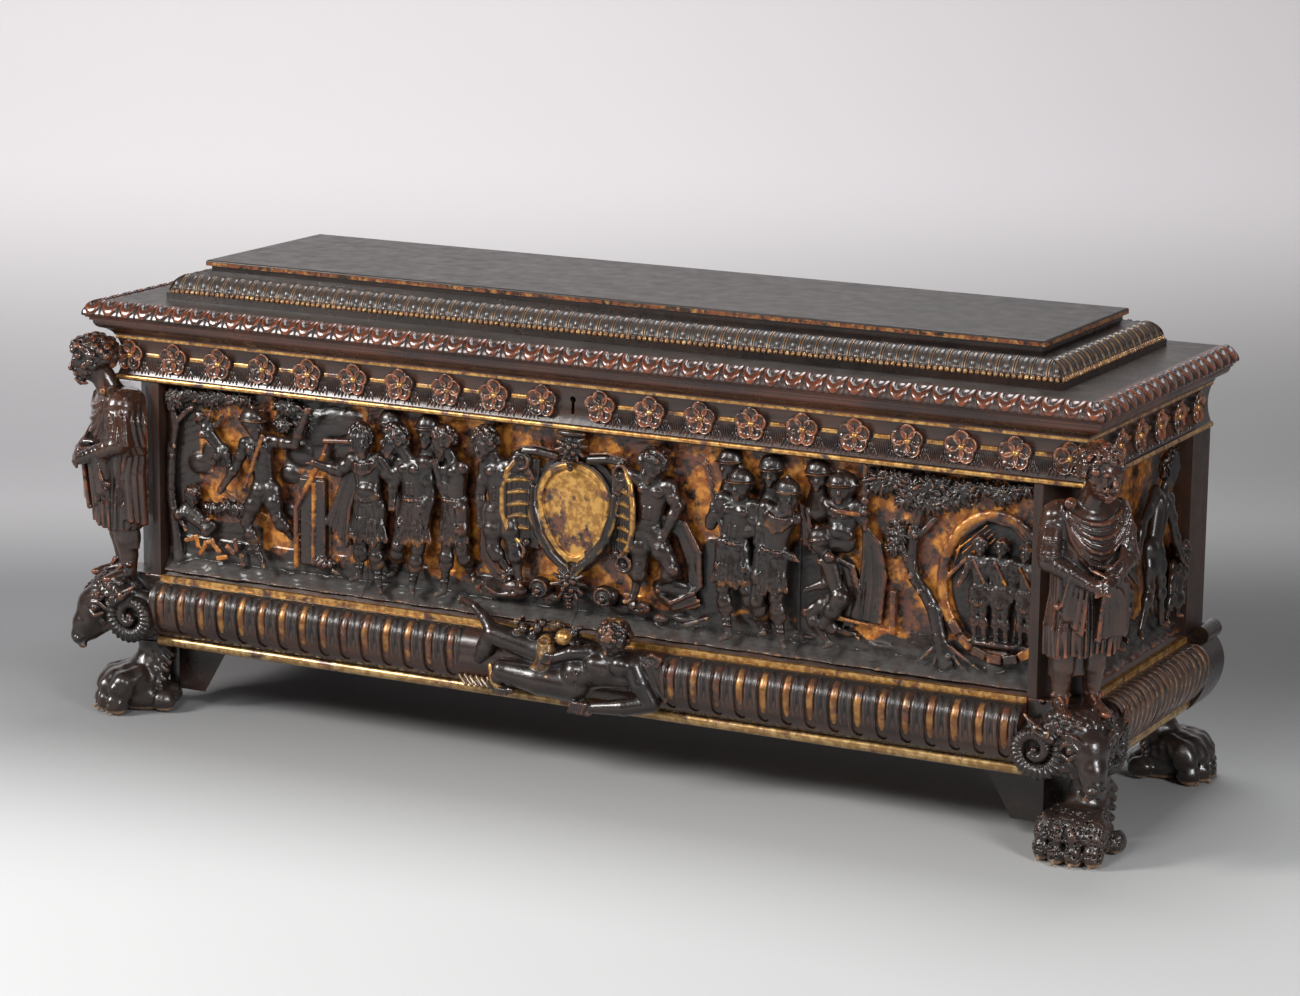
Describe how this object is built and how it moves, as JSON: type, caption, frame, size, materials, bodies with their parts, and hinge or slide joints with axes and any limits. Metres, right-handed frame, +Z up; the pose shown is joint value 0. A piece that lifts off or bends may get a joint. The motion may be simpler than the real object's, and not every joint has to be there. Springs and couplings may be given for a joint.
{
  "type": "carved chest",
  "caption": "Carved and gilded walnut marriage chest (cassone) on lion-paw feet, with a hinged stepped lid and a chest lock.",
  "frame": {"origin": "on the floor, in the middle of the box that holds the whole chest", "axes": "+X along the front to its right-hand end as seen from the front, +Y from the front to the back, +Z up"},
  "size_m": [1.8022, 0.621, 0.7383],
  "materials": {
    "walnut": "aged dark walnut, waxed satin",
    "carved_walnut": "carved walnut, nearly black, waxed, worn red-brown on the edges",
    "gilding": "worn water gilding over bole on wood",
    "plain_wood": "plain, unpainted and unwaxed",
    "iron": "forged, dark, slightly rusted"
  },
  "bodies": {
    "carcase": {"back_board": "plain_wood", "back_left_paw": "carved_walnut", "back_left_post": "walnut", "back_right_paw": "carved_walnut", "back_right_post": "walnut", "bottom_battens": "plain_wood", "bottom_board": "plain_wood", "carcase_nails": "iron", "cartouche": "carved_walnut", "corner_figure_left": "carved_walnut", "corner_figure_right": "carved_walnut", "front_base_bead": "gilding", "front_base_moulding": "carved_walnut", "front_frieze": "walnut", "front_left_foot_block": "plain_wood", "front_left_paw": "carved_walnut", "front_left_post": "walnut", "front_panel": "walnut", "front_right_foot_block": "plain_wood", "front_right_paw": "carved_walnut", "front_right_post": "walnut", "hinge_leaf_carcase_left": "iron", "hinge_leaf_carcase_right": "iron", "hinge_pins": "iron", "left_base_bead": "gilding", "left_base_moulding": "carved_walnut", "left_end_panel": "walnut", "left_frieze": "walnut", "lock_block": "walnut", "lock_case": "iron", "ram_head_left": "carved_walnut", "ram_head_right": "carved_walnut", "rear_scroll_left": "carved_walnut", "rear_scroll_right": "carved_walnut", "reclining_figure": "carved_walnut", "right_base_bead": "gilding", "right_base_moulding": "carved_walnut", "right_end_panel": "walnut", "right_frieze": "walnut"},
    "lid": {"hinge_leaf_lid_left": "iron", "hinge_leaf_lid_right": "iron", "lid_board": "walnut", "lid_edge_front": "carved_walnut", "lid_edge_left": "carved_walnut", "lid_edge_right": "carved_walnut", "lid_frame_back": "walnut", "lid_frame_front": "walnut", "lid_frame_left": "walnut", "lid_frame_right": "walnut", "lid_nails": "iron", "lock_staple": "iron", "tier_back": "carved_walnut", "tier_front": "carved_walnut", "tier_left": "carved_walnut", "tier_right": "carved_walnut", "top_plank_back": "walnut", "top_plank_front": "walnut"},
    "bolt": {"lock_bolt": "iron"}
  },
  "joints": [
    {"name": "lid_hinge", "type": "hinge", "parent": "carcase", "child": "lid", "pos_m": [0, 0.30395, 0.62215], "axis": [-1, 0, 0], "range_deg": [0, 100]},
    {"name": "bolt_slide", "type": "slide", "parent": "carcase", "child": "bolt", "axis": [1, 0, 0], "range_m": [0, 0.014]}
  ]
}
